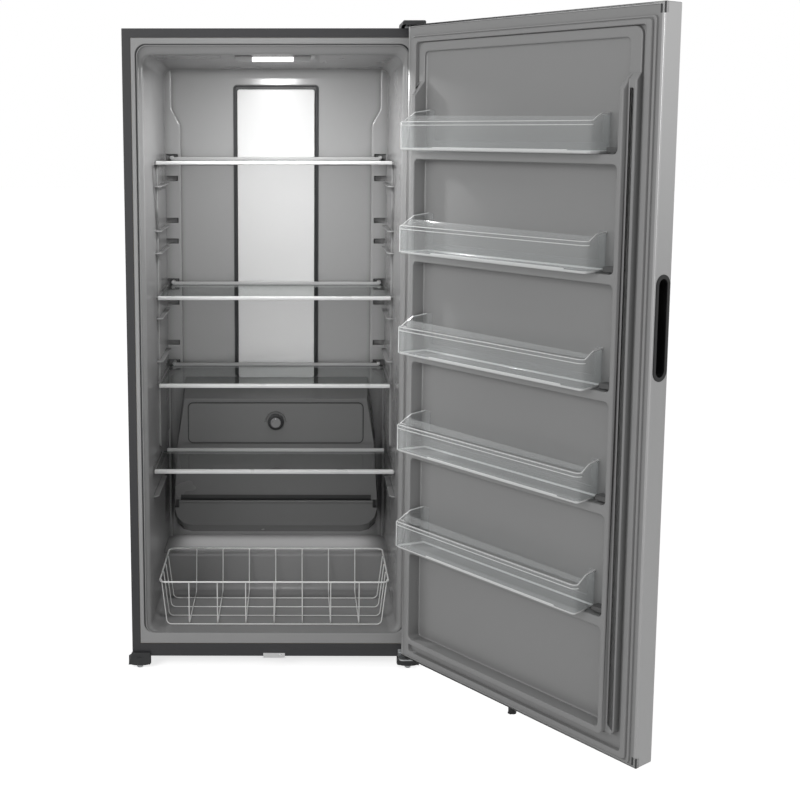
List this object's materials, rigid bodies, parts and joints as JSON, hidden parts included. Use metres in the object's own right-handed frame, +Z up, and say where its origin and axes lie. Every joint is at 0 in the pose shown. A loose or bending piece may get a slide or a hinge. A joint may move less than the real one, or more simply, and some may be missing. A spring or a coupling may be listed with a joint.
{
  "type": "all-refrigerator",
  "caption": "Upright all-refrigerator with its single door open: glass shelves, wire basket, clear door bins and a separate evaporator cover in a grey cabinet.",
  "frame": {"origin": "on the floor, on the cabinet's centre line, under the plane of the cabinet's front face", "axes": "+X to the right of someone facing the front, +Y into the cabinet away from them, +Z up; the door hinges on the +X side"},
  "size_m": [1.3558, 1.3689, 1.87],
  "materials": {
    "grey_paint": "satin dark grey paint",
    "door_steel": "brushed with a clear coat",
    "galvanised": "zinc-coated sheet",
    "frame_grey": "satin light grey",
    "black_plastic": "fine matte",
    "dark_plastic": "matte dark grey",
    "liner_grey": "gloss silver grey sheet",
    "seal_rubber": "soft dark grey",
    "foam": "rigid foam, buff",
    "white_plastic": "satin white",
    "lens": "frosted light cover",
    "cover_grey": "satin dark grey",
    "glass": "clear float glass",
    "trim_grey": "satin light grey",
    "bin_clear": "clear moulded",
    "white_wire": "white plastic-coated wire",
    "chrome": "polished",
    "zinc_steel": "bright zinc plate",
    "black_paint": "black enamel",
    "aluminium": "mill finish",
    "nylon": "natural nylon"
  },
  "bodies": {
    "cabinet": {"cabinet_shell": "grey_paint", "back_panel": "galvanised", "base_pan": "grey_paint", "inner_liner": "liner_grey", "cabinet_foam": "foam", "front_frame": "frame_grey", "frame_seal": "seal_rubber", "led_housing": "white_plastic", "led_lens": "lens", "duct_channel": "dark_plastic", "duct_cover": "white_plastic", "evaporator_cover": "cover_grey", "evaporator_coil": "aluminium", "evaporator_fan_motor": "dark_plastic", "thermostat": "white_plastic", "machine_bulkhead": "galvanised", "rear_base": "galvanised", "compressor": "black_paint", "compressor_mounts": "seal_rubber", "condenser_coil": "black_paint", "drain_pan": "dark_plastic", "machine_cover": "galvanised", "power_inlet": "black_plastic", "foot_covers": "dark_plastic", "bottom_hinge": "zinc_steel", "top_hinge": "zinc_steel", "top_hinge_cover": "dark_plastic", "lock_strike": "chrome"},
    "door": {"door_skin": "door_steel", "door_cap_top": "dark_plastic", "door_cap_bottom": "dark_plastic", "door_bushings": "nylon", "handle_cup": "black_plastic", "door_liner": "liner_grey", "door_foam": "foam", "door_gasket": "seal_rubber", "bin_brackets": "liner_grey"},
    "lock": {"lock_peg": "black_plastic"},
    "dial": {"control_dial": "cover_grey"},
    "fan": {"evaporator_fan": "white_plastic"},
    "wire_basket": {"basket": "white_wire"},
    "left_roller": {"roller_left": "nylon"},
    "right_roller": {"roller_right": "nylon"},
    "left_stud": {"leg_stud_left": "zinc_steel"},
    "left_nut": {"leg_nut_left": "zinc_steel"},
    "right_stud": {"leg_stud_right": "zinc_steel"},
    "right_nut": {"leg_nut_right": "zinc_steel"},
    "shelf_1": {"shelf_1_glass": "glass", "shelf_1_trim": "trim_grey"},
    "shelf_2": {"shelf_2_glass": "glass", "shelf_2_trim": "trim_grey"},
    "shelf_3": {"shelf_3_glass": "glass", "shelf_3_trim": "trim_grey"},
    "shelf_4": {"shelf_4_glass": "glass", "shelf_4_trim": "trim_grey"},
    "door_bin_1": {"bin_1": "bin_clear"},
    "door_bin_2": {"bin_2": "bin_clear"},
    "door_bin_3": {"bin_3": "bin_clear"},
    "door_bin_4": {"bin_4": "bin_clear"},
    "door_bin_5": {"bin_5": "bin_clear"}
  },
  "joints": [
    {"name": "door_hinge", "type": "hinge", "parent": "cabinet", "child": "door", "pos_m": [0.403, -0.042, 0], "axis": [0, 0, 1], "range_deg": [-127.6, 5]},
    {"name": "lock_turn", "type": "hinge", "parent": "door", "child": "lock", "pos_m": [0.64247, -0.36561, 0.045], "axis": [0, 0, 1], "range_deg": [0, 90]},
    {"name": "dial_turn", "type": "hinge", "parent": "cabinet", "child": "dial", "pos_m": [0, 0.38, 0.653], "axis": [0, -1, 0], "range_deg": [-90, 180]},
    {"name": "fan_spin", "type": "hinge", "parent": "cabinet", "child": "fan", "pos_m": [0, 0.46, 0.655], "axis": [0, 1, 0], "continuous": true},
    {"name": "basket_slide", "type": "slide", "parent": "cabinet", "child": "wire_basket", "axis": [0, -1, 0], "range_m": [0, 0.28]},
    {"name": "shelf_1_slide", "type": "slide", "parent": "cabinet", "child": "shelf_1", "axis": [0, -1, 0], "range_m": [0, 0.24]},
    {"name": "shelf_2_slide", "type": "slide", "parent": "cabinet", "child": "shelf_2", "axis": [0, -1, 0], "range_m": [0, 0.24]},
    {"name": "shelf_3_slide", "type": "slide", "parent": "cabinet", "child": "shelf_3", "axis": [0, -1, 0], "range_m": [0, 0.24]},
    {"name": "shelf_4_slide", "type": "slide", "parent": "cabinet", "child": "shelf_4", "axis": [0, -1, 0], "range_m": [0, 0.16]},
    {"name": "bin_1_lift", "type": "slide", "parent": "door", "child": "door_bin_1", "axis": [0, 0, 1], "range_m": [0, 0.04]},
    {"name": "bin_2_lift", "type": "slide", "parent": "door", "child": "door_bin_2", "axis": [0, 0, 1], "range_m": [0, 0.04]},
    {"name": "bin_3_lift", "type": "slide", "parent": "door", "child": "door_bin_3", "axis": [0, 0, 1], "range_m": [0, 0.04]},
    {"name": "bin_4_lift", "type": "slide", "parent": "door", "child": "door_bin_4", "axis": [0, 0, 1], "range_m": [0, 0.04]},
    {"name": "bin_5_lift", "type": "slide", "parent": "door", "child": "door_bin_5", "axis": [0, 0, 1], "range_m": [0, 0.04]},
    {"name": "left_roller_spin", "type": "hinge", "parent": "cabinet", "child": "left_roller", "pos_m": [-0.38, 0.62, 0.018], "axis": [1, 0, 0], "continuous": true},
    {"name": "left_stud_slide", "type": "slide", "parent": "cabinet", "child": "left_stud", "axis": [0, 0, 1], "range_m": [0, 0.0045]},
    {"name": "left_nut_turn", "type": "hinge", "parent": "cabinet", "child": "left_nut", "pos_m": [-0.396, 0.005, 0.02], "axis": [0, 0, 1], "range_deg": [0, 1080]},
    {"name": "right_roller_spin", "type": "hinge", "parent": "cabinet", "child": "right_roller", "pos_m": [0.38, 0.62, 0.018], "axis": [1, 0, 0], "continuous": true},
    {"name": "right_stud_slide", "type": "slide", "parent": "cabinet", "child": "right_stud", "axis": [0, 0, 1], "range_m": [0, 0.0045]},
    {"name": "right_nut_turn", "type": "hinge", "parent": "cabinet", "child": "right_nut", "pos_m": [0.396, 0.005, 0.02], "axis": [0, 0, 1], "range_deg": [0, 1080]}
  ],
  "couplings": [
    {"joint": "left_nut_turn", "follows": "left_stud_slide", "rad_per_m": 4188.4},
    {"joint": "right_nut_turn", "follows": "right_stud_slide", "rad_per_m": 4188.4}
  ]
}
